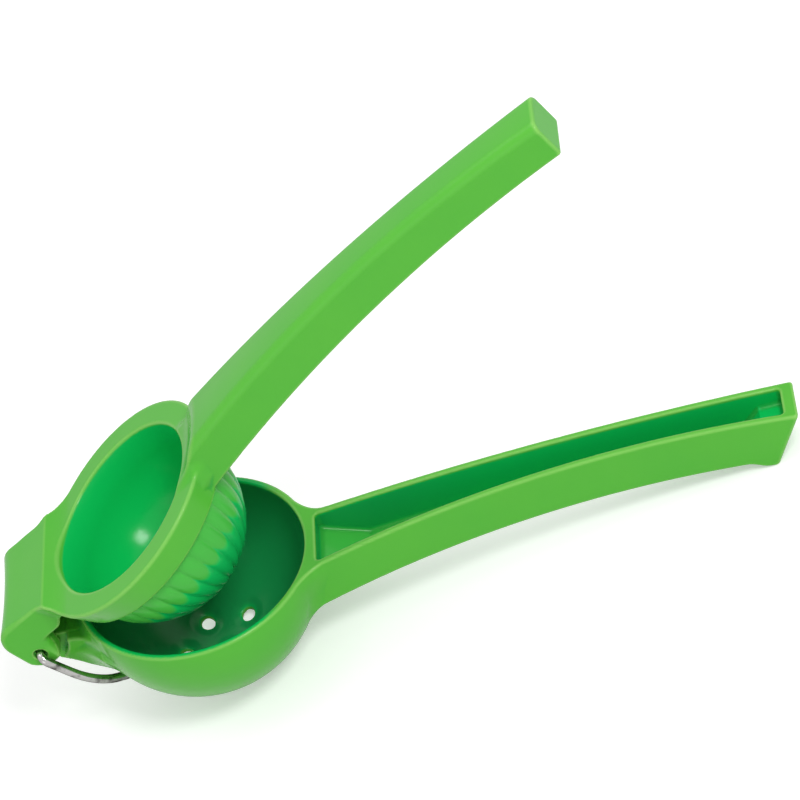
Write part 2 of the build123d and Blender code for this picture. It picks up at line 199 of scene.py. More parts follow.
class SqueezerEnamel(bpy.types.PropertyGroup):
    """Colours and gloss of the two castings, with the colours of their painted shade and highlights."""

    body: paint("Enamel", (0.095, 0.47, 0.04), "Colour of the enamel on open faces")
    # Painted shade and reflected light: a deeper, bluer green inside the cup, the channels and on the bowl's
    # rim
    inner: paint("Painted hollow shade", (0.004, 0.5, 0.1), "Painted shade and reflected green inside the cup, channels and bowl rim")
    # Painted shade: a darker green inside the bowl, where the press shades it
    bowl: paint("Painted bowl shade", (0.012, 0.32, 0.085), "Painted shade inside the bowl")
    # Random mottle, and painted shade: this darker green is also laid into concave corners
    mottle_and_corner_shade: paint("Mottle and corner shade", (0.02, 0.33, 0.04), "Colour of the random mottle and of the painted shade in corners")
    # Painted highlight: a pale colour laid along convex edges
    edge_highlight: paint("Painted edge highlight", (0.3, 0.62, 0.15), "Painted highlight along convex edges")
    roughness: FloatProperty(
        name="Roughness", default=0.2, min=0.0, max=1.0, subtype="FACTOR", description="Enamel's roughness"
    )


class SqueezerFlutes(bpy.types.PropertyGroup):
    """Ribs down the outside of the press dome."""

    count: IntProperty(name="Flutes", default=32, min=8, max=64, description="Number of ribs round the dome")
    radius: length("Dome radius", 0.0259, 0.02, 0.03, "Radius over the ribs")
    depth: length("Groove depth", 0.00065, 0.0, 0.002, "Depth of each groove")


class SqueezerRing(bpy.types.PropertyGroup):
    """Wire ring that is hinge pin and hanging loop in one."""

    wire: length("Wire radius", 0.0012, 0.0005, 0.002, "Radius of the wire")
    steel: paint("Steel", (0.5, 0.49, 0.48), "Colour of the polished wire")


class SqueezerStage(bpy.types.PropertyGroup):
    """Floor and light."""

    floor: paint("Floor", (0.82, 0.82, 0.82), "Colour of the floor")
    key: power("Key light", 4.7, "Power of the soft key light")
    top: power("Top light", 2.6, "Power of the light above")
    front: power("Front light", 1.4, "Power of the low light")
    sky: FloatProperty(name="Sky", default=0.55, min=0.0, max=2.0, description="Strength of light all round")


# ---------------------------------------------------------------------------------------------------------
# Shapes as distances in millimetres: negative inside, positive outside


def rounded_cut(a, b, radius):
    """Inside both a and b, with the edge between them rounded."""
    edge = np.hypot(np.maximum(a + radius, 0), np.maximum(b + radius, 0))
    return np.minimum(np.maximum(a, b), -radius) + edge


def rounded_join(a, b, radius):
    """Inside a or b, with the corner between them filled."""
    fill = np.hypot(np.maximum(radius - a, 0), np.maximum(radius - b, 0))
    return np.maximum(np.minimum(a, b), radius) - fill


def fade(value, start, end):
    """Smooth step from 0 at start to 1 at end."""
    t = np.clip((value - start) / (end - start), 0, 1)
    return t * t * (3 - 2 * t)


def arch(x, peak_x, peak_z, radius):
    """Height of a wide arc at x."""
    return peak_z - radius + np.sqrt(radius**2 - (x - peak_x) ** 2)


def waist(x, half_widths):
    """Half-width of a handle at x, on the circle through its root, waist and tip."""
    (x1, x2, x3), (y1, y2, y3) = HANDLE_STATIONS, half_widths
    turn = 2 * (x1 * (y2 - y3) + x2 * (y3 - y1) + x3 * (y1 - y2))
    s1, s2, s3 = x1**2 + y1**2, x2**2 + y2**2, x3**2 + y3**2
    centre_x = (s1 * (y2 - y3) + s2 * (y3 - y1) + s3 * (y1 - y2)) / turn
    centre_y = (s1 * (x3 - x2) + s2 * (x1 - x3) + s3 * (x2 - x1)) / turn
    radius = math.hypot(x1 - centre_x, y1 - centre_y)
    return centre_y - np.sqrt(radius**2 - (x - centre_x) ** 2)


def line_side(x, z, start, end):
    """Distance to the right of the line from start to end in the XZ plane."""
    run, rise = end[0] - start[0], end[1] - start[1]
    return ((x - start[0]) * rise - (z - start[1]) * run) / math.hypot(run, rise)


def drain_holes(x, y, z):
    """One hole in the middle and six round it, each in a shallow dimple."""
    inner = BOWL_RADIUS - BOWL_WALL
    reach = np.hypot(x, y)
    turn = np.arctan2(y, x)
    spacing = 2 * math.pi / HOLES_IN_RING
    turn = turn - np.round(turn / spacing) * spacing
    along, across = reach * np.cos(turn), reach * np.sin(turn)
    lift = math.sqrt(DIMPLE_BALL**2 - DIMPLE_RADIUS**2)
    drains = None
    for radius, u, v in ((0.0, x, y), (HOLE_RING_RADIUS, along, across)):
        floor_z = -math.sqrt(inner**2 - radius**2)
        ball_x, ball_z = radius * (1 - lift / inner), floor_z * (1 - lift / inner) - BOWL_DROP
        hole = np.hypot(u - radius, v) - HOLE_RADIUS
        dimple = np.sqrt((u - ball_x) ** 2 + v**2 + (z - ball_z) ** 2) - DIMPLE_BALL
        both = rounded_join(hole, dimple, DIMPLE_JOIN)
        drains = both if drains is None else np.minimum(drains, both)
    return drains


def lower_handle(x, y, z):
    """Lower handle without its channel and not yet cut at the top."""
    under = arch(x, *LOWER_UNDER) - FOOT_DROP * fade(x, FOOT_START, FOOT_START + FOOT_LENGTH)
    sides = rounded_cut(np.abs(y) - waist(x, LOWER_HALF_WIDTHS), under - z, LOWER_EDGE)
    return rounded_cut(sides, line_side(x, z, LOWER_END_FOOT, LOWER_END_TOP), LOWER_END_EDGE)


def channel_floor(x):
    """Height of the floor of the lower handle's trough, with a raised pad at its tip end."""
    floor = arch(x, *LOWER_UNDER) + CHANNEL_FLOOR
    ramp_end = arch(CHANNEL_RAMP_X, *LOWER_UNDER) + CHANNEL_FLOOR
    slope = (ramp_end - CHANNEL_START_Z) / (CHANNEL_RAMP_X - CHANNEL_START_X)
    floor = np.where(x < CHANNEL_RAMP_X, CHANNEL_START_Z + slope * (x - CHANNEL_START_X), floor)
    pad_foot = arch(PAD_START_X, *LOWER_UNDER) + CHANNEL_FLOOR
    return np.maximum(floor, np.minimum(PAD_TOP_Z, pad_foot + (x - PAD_START_X)))


def lower_channel(x, y, z):
    """Trough along the lower handle."""
    sides = np.abs(y) - waist(x, LOWER_HALF_WIDTHS) + CHANNEL_WALL
    trough = rounded_cut(sides, channel_floor(x) - z, CHANNEL_FLOOR_FILLET)
    trough = rounded_cut(trough, CHANNEL_START_X - x, CHANNEL_START_FILLET)
    return rounded_cut(trough, x - CHANNEL_END_X, CHANNEL_END_FILLET)


def neck(x, y, z):
    """Block behind the bowl with its hinge tongue."""
    from_hinge = np.hypot(x - HINGE_X, z - HINGE_Z)
    underside = (np.interp(x, NECK_LINE_X, NECK_LINE_Z) - z) * NECK_SLOPE
    flare = FLARE_GROWTH * np.clip(x - FLARE_START_X, 0, FLARE_LENGTH) ** 2 * fade(z, -15, -6)
    block = rounded_cut((np.abs(y) - NECK_HALF - flare) * FLARE_SLOPE, z - NECK_TOP, NECK_TOP_EDGE)
    block = rounded_cut(block, underside, NECK_EDGE)
    block = rounded_cut(block, NECK_RELIEF - from_hinge, NECK_EDGE)
    tongue_under = (np.interp(x, TONGUE_LINE_X, TONGUE_LINE_Z) - z) * TONGUE_SLOPE
    bar = np.maximum(rounded_cut(z - NECK_TOP, tongue_under, TONGUE_TOP_EDGE), HINGE_X - x)
    tongue = rounded_join(from_hinge - TONGUE_KNUCKLE, bar, KNUCKLE_JOIN)
    tongue = rounded_cut(tongue, np.abs(y) - TONGUE_HALF, TONGUE_EDGE)
    return np.maximum(rounded_join(block, tongue, TONGUE_JOIN), x - NECK_INNER_X)


def lower_casting(x, y, z):
    """Bowl, neck, tongue and lower handle in one."""
    ball = np.sqrt(x**2 + y**2 + (z + BOWL_DROP) ** 2)
    rise = arch(x, *LOWER_TOP)
    top = (rise + np.hypot(rise, RIM_TO_HANDLE)) / 2
    handle = np.maximum(lower_handle(x, y, z), LOWER_ROOT_X - x)
    join = LOWER_JOIN_BELOW + (LOWER_JOIN_ABOVE - LOWER_JOIN_BELOW) * fade(z, -10, -2)
    solid = rounded_join(ball - BOWL_RADIUS, handle, join)
    solid = rounded_cut(solid, z - top, RIM_EDGE)
    beside = fade(z, -5, -9) * fade(z, -18, -13) * fade(np.abs(y), 8, 12)
    join = NECK_JOIN + (NECK_JOIN_BELOW - NECK_JOIN) * beside
    solid = rounded_join(solid, neck(x, y, z), join)
    room = np.where(z > -BOWL_DROP, np.hypot(x, y), ball) - (BOWL_RADIUS - BOWL_WALL)
    solid = rounded_cut(solid, -room, RIM_EDGE)
    solid = rounded_cut(solid, -lower_channel(x, y, z), CHANNEL_LIP)
    solid = rounded_cut(solid, -drain_holes(x, y, z), HOLE_EDGE)
    return np.maximum(solid, PIN_HOLE - np.hypot(x - HINGE_X, z - HINGE_Z))


def tab_rise(x):
    """Height of the tab's top over the collar: a crisp fold, then a ramp that runs out softly."""
    t = (TAB_FOOT_X - x) / (TAB_FOOT_X - TAB_FOLD_X)
    ramp = np.clip((t + TAB_RUN_OUT) / (1 + TAB_RUN_OUT), 0, 1) ** 2
    rise = TAB_RISE * (1 + ramp - np.hypot(1 - ramp, TAB_FOLD_SOFTNESS)) / 2
    return rise + TAB_TILT * np.maximum(TAB_FOLD_X - x, 0)


def lower_painted_shade(x, y, z):
    """Painted shade: 2 inside the bowl, up to 1.6 on the channel's walls, 1 on the bowl's rim and 0 on open
    faces.
    """
    ball = np.sqrt(x**2 + y**2 + (z + BOWL_DROP) ** 2)
    bowl = fade(ball, BOWL_RADIUS - 0.9, BOWL_RADIUS - 1.7) * fade(z, -0.5, -1.1)
    above_floor = z - channel_floor(x)
    wall = np.maximum(0.4 + 0.6 * fade(above_floor, 0.2, 1.1), fade(x, PAD_START_X, PAD_START_X + 3))
    wall = wall * (1 + 0.6 * fade(x, 90, 40) * fade(above_floor, 0, 1.5))
    trough = fade(lower_channel(x, y, z), 0.6, 0) * fade(arch(x, *LOWER_TOP) - z, 0.5, 1.1) * wall
    rim = fade(np.hypot(x, y), BOWL_RADIUS - 0.4, BOWL_RADIUS - 0.9) * fade(z, -1.5, -0.5) * fade(x, 24, 18)
    return np.maximum(2 * bowl, np.maximum(rim, trough))


def upper_painted_shade(x, y, z):
    """Painted shade: 1 inside the cup and the handle's channel, 0 on open faces."""
    reach = np.hypot(x, y)
    cup = fade(reach, CUP_MOUTH + 0.5, CUP_MOUTH) * fade(z, COLLAR_TOP - 0.35, COLLAR_TOP - 0.85)
    inside = fade(np.hypot(reach, z - DOME_CENTRE), CUP_RADIUS + 1.0, CUP_RADIUS + 0.4)
    trough = fade(upper_channel(x, y, z), 0.7, 0)
    return np.maximum(cup * np.where(z > DOME_CENTRE, 1, inside), trough)


def hinge_tab(x, y, z):
    """Tab with two ears, rounded down behind the hinge."""
    ear = np.hypot(x - EAR_X, np.minimum(z - EAR_LOW_Z, 0)) - EAR_RADIUS
    body = rounded_join(ear, WEB_BOTTOM - z, EAR_JOIN)
    corner_x = TAB_BACK_X + TAB_CORNER + TAB_WAIST * (1 - (y / TAB_HALF) ** 2)
    corner_z = COLLAR_TOP + TAB_RISE + TAB_TILT * (TAB_FOLD_X - x) - TAB_CORNER
    back = np.hypot(np.minimum(x - corner_x, 0), np.maximum(z - corner_z, 0)) - TAB_CORNER
    edge = TAB_SIDE_EDGE + (TAB_TOP_EDGE - TAB_SIDE_EDGE) * fade(z, 1, 6)
    return rounded_cut(np.maximum(body, back), np.abs(y) - TAB_HALF, edge)


def tongue_room(x, y, z):
    """Space between the ears that the tongue turns in."""
    inside = np.maximum(z - TAB_CEILING, np.maximum(TAB_BACK_X + TAB_BACK_WALL - x, x - TONGUE_ROOM_END_X))
    behind = np.maximum(z - HINGE_Z, x - TAB_BACK_X - TONGUE_ROOM_BACK)
    return np.maximum(np.minimum(inside, behind), np.abs(y) - EAR_INNER)


def upper_handle(x, y, z):
    """Upper handle, crowned across, with a ramp down to the collar."""
    crown = arch(x, *UPPER_TOP) - UPPER_CROWN * y**2
    handle = rounded_cut(np.abs(y) - waist(x, UPPER_HALF_WIDTHS), z - crown, UPPER_TOP_EDGE)
    handle = rounded_cut(handle, line_side(x, z, UPPER_END_FOOT, UPPER_END_TOP), UPPER_EDGE)
    handle = rounded_cut(handle, arch(x, *UPPER_UNDER) - z, UPPER_EDGE)
    ramp = RAMP_FOOT + (z - COLLAR_TOP) / math.tan(RAMP_ANGLE) - np.hypot(x, y)
    return rounded_cut(handle, ramp * math.sin(RAMP_ANGLE), RAMP_EDGE)


def upper_channel(x, y, z):
    """Hollow under the upper handle."""
    sides = np.abs(y) - waist(x, UPPER_HALF_WIDTHS) + CHANNEL_WALL
    hollow = rounded_cut(sides, z - arch(x, *UPPER_TOP) + CHANNEL_FLOOR, CHANNEL_FLOOR_FILLET)
    hollow = rounded_cut(hollow, UPPER_CHANNEL_START_X - x, CHANNEL_FLOOR_FILLET)
    return rounded_cut(hollow, x - UPPER_END_X + CHANNEL_FLOOR, CHANNEL_END_FILLET)


def collar_cone(reach, z):
    """Distance from the collar's tapered flank."""
    flare = (COLLAR_TOP_RADIUS - COLLAR_BOTTOM_RADIUS) / (COLLAR_TOP - COLLAR_BOTTOM)
    return (reach - COLLAR_BOTTOM_RADIUS - flare * (z - COLLAR_BOTTOM)) * math.cos(math.atan(flare))


def collar_and_tab(x, y, z):
    """Collar with the hinge tab, which leaves room for the bowl's rim and for the tongue."""
    reach = np.hypot(x, y)
    cone = collar_cone(reach, z)
    collar = rounded_cut(cone, COLLAR_BOTTOM - z, COLLAR_EDGE)
    plate = rounded_cut(np.abs(y) - TAB_HALF, WEB_BOTTOM - z, TAB_SIDE_EDGE)
    solid = rounded_join(collar, np.maximum(plate, x - TAB_INNER_X), TAB_JOIN)
    solid = rounded_cut(solid, z - COLLAR_TOP - tab_rise(x), COLLAR_EDGE)
    share = fade(x, EAR_X + 1.5, EAR_X + 6.5)
    solid = share * solid + (1 - share) * np.maximum(hinge_tab(x, y, z), x - TAB_INNER_X)
    rim_top = z - RIM_ROOM_TOP + np.maximum(reach - RIM_ROOM_RADIUS, 0)
    rim_room = np.maximum(np.maximum(rim_top, reach - RIM_ROOM_REACH), RIM_ROOM_GAP - cone)
    solid = rounded_cut(solid, -np.maximum(rim_room, x - RIM_ROOM_END_X), RIM_ROOM_EDGE)
    solid = np.minimum(solid, rounded_cut(collar, z - COLLAR_TOP, COLLAR_EDGE))
    return rounded_cut(solid, -tongue_room(x, y, z), TONGUE_ROOM_EDGE)


def upper_casting(x, y, z):
    """Collar, hinge tab, dome and upper handle in one."""
    reach = np.hypot(x, y)
    ball = np.hypot(reach, z - DOME_CENTRE)
    handle = np.maximum(upper_handle(x, y, z), UPPER_ROOT_X - x)
    join = UPPER_JOIN_BELOW + (UPPER_JOIN_ABOVE - UPPER_JOIN_BELOW) * fade(z, -2, 1)
    solid = rounded_join(collar_and_tab(x, y, z), handle, join)
    core = np.maximum(ball - DOME_CORE, z - COLLAR_BOTTOM - DOME_OVERLAP)
    solid = rounded_join(solid, core, DOME_JOIN)
    height = (z - DOME_CENTRE) / (COLLAR_TOP - DOME_CENTRE)
    throat = CUP_RADIUS + (CUP_MOUTH - CUP_RADIUS) * height**2
    room = np.where(z > DOME_CENTRE, reach - throat, ball - CUP_RADIUS)
    solid = rounded_cut(solid, -room, CUP_EDGE)
    solid = rounded_cut(solid, -upper_channel(x, y, z), CUP_EDGE)
    from_hinge = np.hypot(x - HINGE_X, z - HINGE_Z)
    sink = np.maximum(from_hinge - PIN_SINK, PIN_SINK_START - np.abs(y))
    return rounded_cut(solid, -np.minimum(from_hinge - PIN_HOLE, sink), PIN_EDGE)


# ---------------------------------------------------------------------------------------------------------
# From distances to meshes


def spread(*stretches):
    """Grid lines over joined stretches, each given by its start, end and spacing."""
    lines = [np.linspace(a, b, max(2, round((b - a) / step) + 1))[:-1] for a, b, step in stretches]
    return np.concatenate([*lines, [stretches[-1][1]]])


def edge_points(field, cells, axes):
    """Mean of the points where the surface crosses the edges of each cell."""
    corners = {}
    for offset in np.ndindex(2, 2, 2):
        corners[offset] = field[tuple((cells + offset).T)]
    total = np.zeros((len(cells), 3))
    count = np.zeros(len(cells))
    for start in np.ndindex(2, 2, 2):
        for axis in range(3):
            if start[axis]:
                continue
            end = tuple(1 if i == axis else s for i, s in enumerate(start))
            a, b = corners[start], corners[end]
            crossed = (a < 0) != (b < 0)
            share = np.where(crossed, a / np.where(crossed, a - b, 1), 0)
            point = np.stack([axes[i][cells[:, i] + start[i]] for i in range(3)], axis=1)
            point[:, axis] += share * (axes[axis][cells[:, axis] + 1] - point[:, axis])
            total += point * crossed[:, None]
            count += crossed
    return total / count[:, None]


def surface_quads(inside, ids):
    """Quads between the cells round each crossed grid edge, facing outwards."""
    quads = []
    for axis in range(3):
        side, other = (axis + 1) % 3, (axis + 2) % 3
        low = inside.take(range(0, inside.shape[axis] - 1), axis)
        high = inside.take(range(1, inside.shape[axis]), axis)
        edges = np.argwhere(low != high)
        keep = (edges[:, side] > 0) & (edges[:, other] > 0)
        keep &= (edges[:, side] < inside.shape[side] - 1) & (edges[:, other] < inside.shape[other] - 1)
        edges = edges[keep]
        corners = []
        for back_side, back_other in ((1, 1), (0, 1), (0, 0), (1, 0)):
            cell = edges.copy()
            cell[:, side] -= back_side
            cell[:, other] -= back_other
            corners.append(ids[tuple(cell.T)])
        quad = np.stack(corners, axis=1)
        outward = low[tuple(edges.T)]
        quads.append(np.where(outward[:, None], quad, quad[:, ::-1]))
    return np.concatenate(quads)


def slope_of(shape, points, step=0.03):
    """Direction in which the distance grows at each point."""
    slope = np.empty_like(points)
    for axis in range(3):
        shift = np.zeros(3)
        shift[axis] = step
        slope[:, axis] = shape(*(points + shift).T) - shape(*(points - shift).T)
    return slope / (2 * step)


def settle(shape, points, limit=0.4):
    """Moves points onto the surface."""
    slope = slope_of(shape, points)
    reach = shape(*points.T) / np.maximum((slope**2).sum(axis=1), LEAST_SLOPE)
    return points - slope * np.clip(reach, -limit, limit)[:, None]


def relax(points, quads, amount=0.5):
    """Moves each point towards the mean of its neighbours."""
    starts = quads.ravel()
    ends = np.roll(quads, -1, axis=1).ravel()
    count = np.bincount(starts, minlength=len(points)) + np.bincount(ends, minlength=len(points))
    moved = np.empty_like(points)
    for axis in range(3):
        value = points[:, axis]
        total = np.bincount(starts, value[ends], len(points))
        total += np.bincount(ends, value[starts], len(points))
        moved[:, axis] = value + amount * (total / np.maximum(count, 1) - value)
    return moved


def skin(shape, xs, half_ys, zs):
    """Points and quads over a shape that is the same on both sides of the mid-plane."""
    field = shape(xs[:, None, None], half_ys[None, :, None], zs[None, None, :])
    field = np.broadcast_to(field, (len(xs), len(half_ys), len(zs)))
    field = np.concatenate([field[:, :0:-1], field], axis=1)
    axes = (xs, np.concatenate([-half_ys[:0:-1], half_ys]), zs)
    inside = field < 0
    block = tuple(n - 1 for n in inside.shape)
    full = np.zeros(block, np.int8)
    for i, j, k in np.ndindex(2, 2, 2):
        full += inside[i : block[0] + i, j : block[1] + j, k : block[2] + k]
    active = (full > 0) & (full < 8)
    ids = np.full(block, -1, np.int64)
    ids[active] = np.arange(active.sum())
    points = edge_points(field, np.argwhere(active), axes)
    quads = surface_quads(inside, ids)
    for _ in range(SMOOTHING_ROUNDS):
        points = settle(shape, relax(points, quads))
    return settle(shape, points), quads


def in_row(points, turn):
    """From millimetres in the bowl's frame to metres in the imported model, turned about the hinge."""
    lean = math.radians(turn)
    x, z = points[:, 0] - HINGE_X, points[:, 2] - HINGE_Z
    along = x * math.cos(lean) + z * math.sin(lean)
    up = z * math.cos(lean) - x * math.sin(lean)
    return HINGE_IN_ROW + np.stack([along, points[:, 1], up], axis=1) * MM


def curvature_of(shape, points, step=0.6):
    """How sharply the surface bends: positive over edges, negative in corners."""
    total = -6 * shape(*points.T)
    for axis in range(3):
        shift = np.zeros(3)
        shift[axis] = step
        total = total + shape(*(points + shift).T) + shape(*(points - shift).T)
    return total / step**2


def link(name, content):
    """Puts a mesh, lamp or camera into the scene as an object."""
    made = bpy.data.objects.new(name, content)
    bpy.context.scene.collection.objects.link(made)
    return made


def cast_piece(name, shape, hollow, grid, turn, material):
    """A mesh over one casting, with its bends and the painted shade of its hollows kept as attributes for the
    enamel.
    """
    points, quads = skin(shape, *grid)
    normals = slope_of(shape, points)
    bend = curvature_of(shape, points)
    mesh = bpy.data.meshes.new(name)
    mesh.from_pydata(in_row(points, turn), [], quads.tolist())
    mesh.polygons.foreach_set("use_smooth", np.ones(len(quads), bool))
    # The hollow attribute holds the painted shade of the cup, bowl, channels and rim
    for title, values in (("bend", bend), ("hollow", hollow(*points.T))):
        mesh.attributes.new(title, "FLOAT", "POINT").data.foreach_set("value", values.astype(np.float32))
    mesh.materials.append(material)
    pivot = np.array([[HINGE_X, 0.0, HINGE_Z]])
    directions = in_row(normals + pivot, turn) - in_row(pivot, turn)
    directions /= np.maximum(np.linalg.norm(directions, axis=1), 1e-12)[:, None]
    mesh.normals_split_custom_set_from_vertices(directions)
    mesh.validate()
    return link(name, mesh)


# ---------------------------------------------------------------------------------------------------------
# Node helpers


def socket(tree, name, kind, default=None, output=False):
    made = tree.interface.new_socket(name, in_out="OUTPUT" if output else "INPUT", socket_type=kind)
    if default is not None:
        made.default_value = default
    return made


def add(tree, kind, links=(), **values):
    """Adds a node, sets its properties and links inputs given as pairs of socket and source."""
    node = tree.nodes.new(kind)
    for key, value in values.items():
        setattr(node, key, value)
    for key, source in links:
        target = node.inputs[key]
        if hasattr(source, "links"):
            tree.links.new(source, target)
        else:
            target.default_value = source
    return node


def maths(tree, operation, *sources):
    """Output of a Math node."""
    return add(tree, "ShaderNodeMath", enumerate(sources), operation=operation).outputs[0]


def scaled(tree, value, from_range, to_range, **settings):
    """Output of a Map Range node, which takes one range to another."""
    ranges = (*from_range, *to_range)
    links = [("Value", value), *zip(("From Min", "From Max", "To Min", "To Max"), ranges)]
    return add(tree, "ShaderNodeMapRange", links, **settings).outputs[0]


def bumps(tree, height, strength, distance):
    """Output of a Bump node."""
    links = [("Height", height), ("Strength", strength), ("Distance", distance)]
    return add(tree, "ShaderNodeBump", links).outputs[0]


def material_of(name):
    material = bpy.data.materials.new(name)
    material.use_nodes = True
    material.node_tree.nodes.clear()
    return material, material.node_tree


def finish_material(tree, shader):
    add(tree, "ShaderNodeOutputMaterial", [("Surface", shader.outputs[0])])


def grain_group():
    """Fine unevenness that enamel, steel and floor share: a mask and a height."""
    if "Fine Grain" in bpy.data.node_groups:
        return bpy.data.node_groups["Fine Grain"]
    tree = bpy.data.node_groups.new("Fine Grain", "ShaderNodeTree")
    socket(tree, "Vector", "NodeSocketVector")
    socket(tree, "Coarse Scale", "NodeSocketFloat", 40.0)
    socket(tree, "Fine Scale", "NodeSocketFloat", 600.0)
    socket(tree, "Mask", "NodeSocketFloat", output=True)
    socket(tree, "Height", "NodeSocketFloat", output=True)
    inputs = tree.nodes.new("NodeGroupInput")
    coarse, fine = (
        add(
            tree,
            "ShaderNodeTexNoise",
            [("Vector", inputs.outputs["Vector"]), ("Scale", inputs.outputs[scale]), ("Detail", detail)],
        ).outputs["Fac"]
        for scale, detail in (("Coarse Scale", 3.0), ("Fine Scale", 2.0))
    )
    height = maths(tree, "MULTIPLY_ADD", coarse, 0.6, maths(tree, "MULTIPLY", fine, 0.4))
    add(tree, "NodeGroupOutput", [("Mask", coarse), ("Height", height)])
    return tree


def grain(tree, coarse, fine):
    """Places the grain group on object coordinates."""
    coordinates = add(tree, "ShaderNodeTexCoord")
    group = tree.nodes.new("ShaderNodeGroup")
    group.node_tree = grain_group()
    tree.links.new(coordinates.outputs["Object"], group.inputs["Vector"])
    group.inputs["Coarse Scale"].default_value = coarse
    group.inputs["Fine Scale"].default_value = fine
    return group


def mix_colour(tree, share, first, second):
    """Output of a colour mix."""
    node = add(tree, "ShaderNodeMix", data_type="RGBA")
    for target, source in ((node.inputs[0], share), (node.inputs[6], first), (node.inputs[7], second)):
        if hasattr(source, "links"):
            tree.links.new(source, target)
        else:
            target.default_value = source
    return node.outputs[2]


def opaque(colour):
    return (*colour, 1.0)


def enamel_material():
    """Glossy enamel with painted highlights over edges, painted shade in corners and hollows, random mottle
    and a faint orange peel.
    """
    if "Green Enamel" in bpy.data.materials:
        return bpy.data.materials["Green Enamel"]
    looks = bpy.context.scene.squeezer_enamel
    material, tree = material_of("Green Enamel")
    mottle = grain(tree, 45.0, 900.0)
    bend = add(tree, "ShaderNodeAttribute", attribute_name="bend").outputs["Fac"]
    # Painted highlight: the pale colour is mixed in where the surface bends outwards over an edge
    painted_edge_highlight = scaled(tree, bend, (0.3, 1.7), (0.0, 0.6))
    # Painted shade: the darker green is mixed in where the surface bends inwards, in corners and creases
    corner_shade = scaled(tree, bend, (-0.15, -1.0), (0.0, 0.7))
    drift = scaled(tree, mottle.outputs["Mask"], (0.3, 0.7), (0.0, 0.12))
    colour = mix_colour(tree, drift, opaque(looks.body), opaque(looks.mottle_and_corner_shade))
    colour = mix_colour(tree, painted_edge_highlight, colour, opaque(looks.edge_highlight))
    # Painted shade: the hollow attribute mixes in the deeper green inside the cup, channels and bowl rim
    hollow = add(tree, "ShaderNodeAttribute", attribute_name="hollow").outputs["Fac"]
    colour = mix_colour(tree, hollow, colour, opaque(looks.inner))
    # Painted shade: hollow values above 1 mix in the darker bowl green, in the bowl, near the channel's root
    # and on the dome
    deeper_shade_share = maths(tree, "SUBTRACT", hollow, 1.0)
    colour = mix_colour(tree, deeper_shade_share, colour, opaque(looks.bowl))
    colour = mix_colour(tree, corner_shade, colour, opaque(looks.mottle_and_corner_shade))
    dull, glossy = looks.roughness + 0.05, looks.roughness - 0.03
    gloss = scaled(tree, mottle.outputs["Mask"], (0.3, 0.7), (glossy, dull))
    bump = bumps(tree, mottle.outputs["Height"], 0.1, 0.0002)
    shader = add(
        tree,
        "ShaderNodeBsdfPrincipled",
        [
            ("Base Color", colour),
            ("Roughness", gloss),
            ("Normal", bump),
            ("Specular IOR Level", 0.2),
        ],
    )
    finish_material(tree, shader)
    return material


def steel_material():
    """Polished wire with faint drawing marks, rougher spots and dark patches that are painted reflections."""
    looks = bpy.context.scene.squeezer_ring
    material, tree = material_of("Polished Wire")
    marks = grain(tree, 260.0, 2400.0)
    dull = scaled(tree, marks.outputs["Mask"], (0.35, 0.7), (0.1, 0.3))
    # Painted reflection: near-black patches on the wire in place of the dark surroundings it would mirror
    shade = scaled(tree, marks.outputs["Mask"], (0.5, 0.66), (0.0, 0.85))
    colour = mix_colour(tree, shade, opaque(looks.steel), (0.07, 0.065, 0.06, 1.0))
    bump = bumps(tree, marks.outputs["Height"], 0.15, 0.0001)
    shader = add(
        tree,
        "ShaderNodeBsdfPrincipled",
        [
            ("Base Color", colour),
            ("Metallic", 1.0),
            ("Roughness", dull),
            ("Specular Tint", (0.25, 0.24, 0.23, 1.0)),
            ("Normal", bump),
        ],
    )
    finish_material(tree, shader)
    return material


def modifier_result(name, mesh, tree, values):
    """Plain mesh that a geometry node tree makes from a mesh, with inputs given by socket name."""
    worker = link(name + "_maker", mesh)
    modifier = worker.modifiers.new("Nodes", "NODES")
    modifier.node_group = tree
    for item in tree.interface.items_tree:
        if item.in_out == "INPUT" and item.name in values:
            modifier[item.identifier] = values[item.name]
    graph = bpy.context.evaluated_depsgraph_get()
    result = bpy.data.meshes.new_from_object(worker.evaluated_get(graph), depsgraph=graph)
    worker.modifiers.remove(modifier)
    bpy.data.objects.remove(worker)
    result.name = name
    return result


